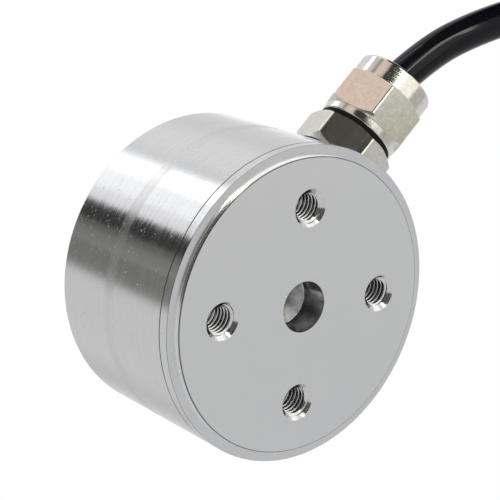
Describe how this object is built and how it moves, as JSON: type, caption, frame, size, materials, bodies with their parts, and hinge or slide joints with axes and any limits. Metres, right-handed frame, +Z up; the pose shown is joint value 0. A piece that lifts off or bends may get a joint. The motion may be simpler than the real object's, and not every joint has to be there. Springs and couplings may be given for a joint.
{
  "type": "button load cell",
  "caption": "Round steel compression load cell with a domed load button, tapped holes and a centre hole in its base, and a side cable gland with a coiled black cable.",
  "frame": {"origin": "centre of the base face, on the load axis", "axes": "+Z up the load axis to the button, +X out along the cable gland"},
  "size_m": [0.161, 0.0921, 0.032],
  "materials": {
    "turned_steel": "fine-turned stainless steel, satin base face",
    "sleeve_steel": "fine-turned stainless steel, bright",
    "cover_steel": "thin stainless sheet, satin",
    "plated_brass": "bright nickel plate on brass",
    "black_rubber": "black nitrile rubber",
    "grey_plastic": "grey nylon",
    "cable_jacket": "smooth glossy black jacket",
    "green_board": "green solder resist",
    "gauge_film": "amber polyimide film",
    "copper_ribbon": "bare copper ribbon",
    "chip_body": "dark chip resistor",
    "core_red": "red core insulation",
    "core_black": "black core insulation",
    "core_green": "green core insulation",
    "core_white": "white core insulation",
    "tinned_wire": "tinned copper shield wire"
  },
  "bodies": {
    "root": {"sensing_element": "turned_steel", "housing_sleeve": "sleeve_steel", "cover_diaphragm": "cover_steel", "gland_body": "plated_brass", "gland_nut": "plated_brass", "gland_gasket": "black_rubber", "gland_dust_ring": "black_rubber", "gland_seal": "black_rubber", "gland_clamp": "grey_plastic", "cable_in_gland": "cable_jacket", "cable": "cable_jacket", "cable_coil": "cable_jacket", "cable_end": "cable_jacket", "terminal_board": "green_board", "strain_gauge_1": "gauge_film", "strain_gauge_2": "gauge_film", "strain_gauge_3": "gauge_film", "strain_gauge_4": "gauge_film", "gauge_ribbon_1": "copper_ribbon", "gauge_ribbon_2": "copper_ribbon", "gauge_ribbon_3": "copper_ribbon", "gauge_ribbon_4": "copper_ribbon", "trim_resistor_1": "chip_body", "trim_resistor_2": "chip_body", "trim_resistor_3": "chip_body", "inner_core_red": "core_red", "inner_core_black": "core_black", "inner_core_green": "core_green", "inner_core_white": "core_white", "lead_red": "core_red", "lead_black": "core_black", "lead_green": "core_green", "lead_white": "core_white", "lead_shield": "tinned_wire"}
  },
  "joints": []
}
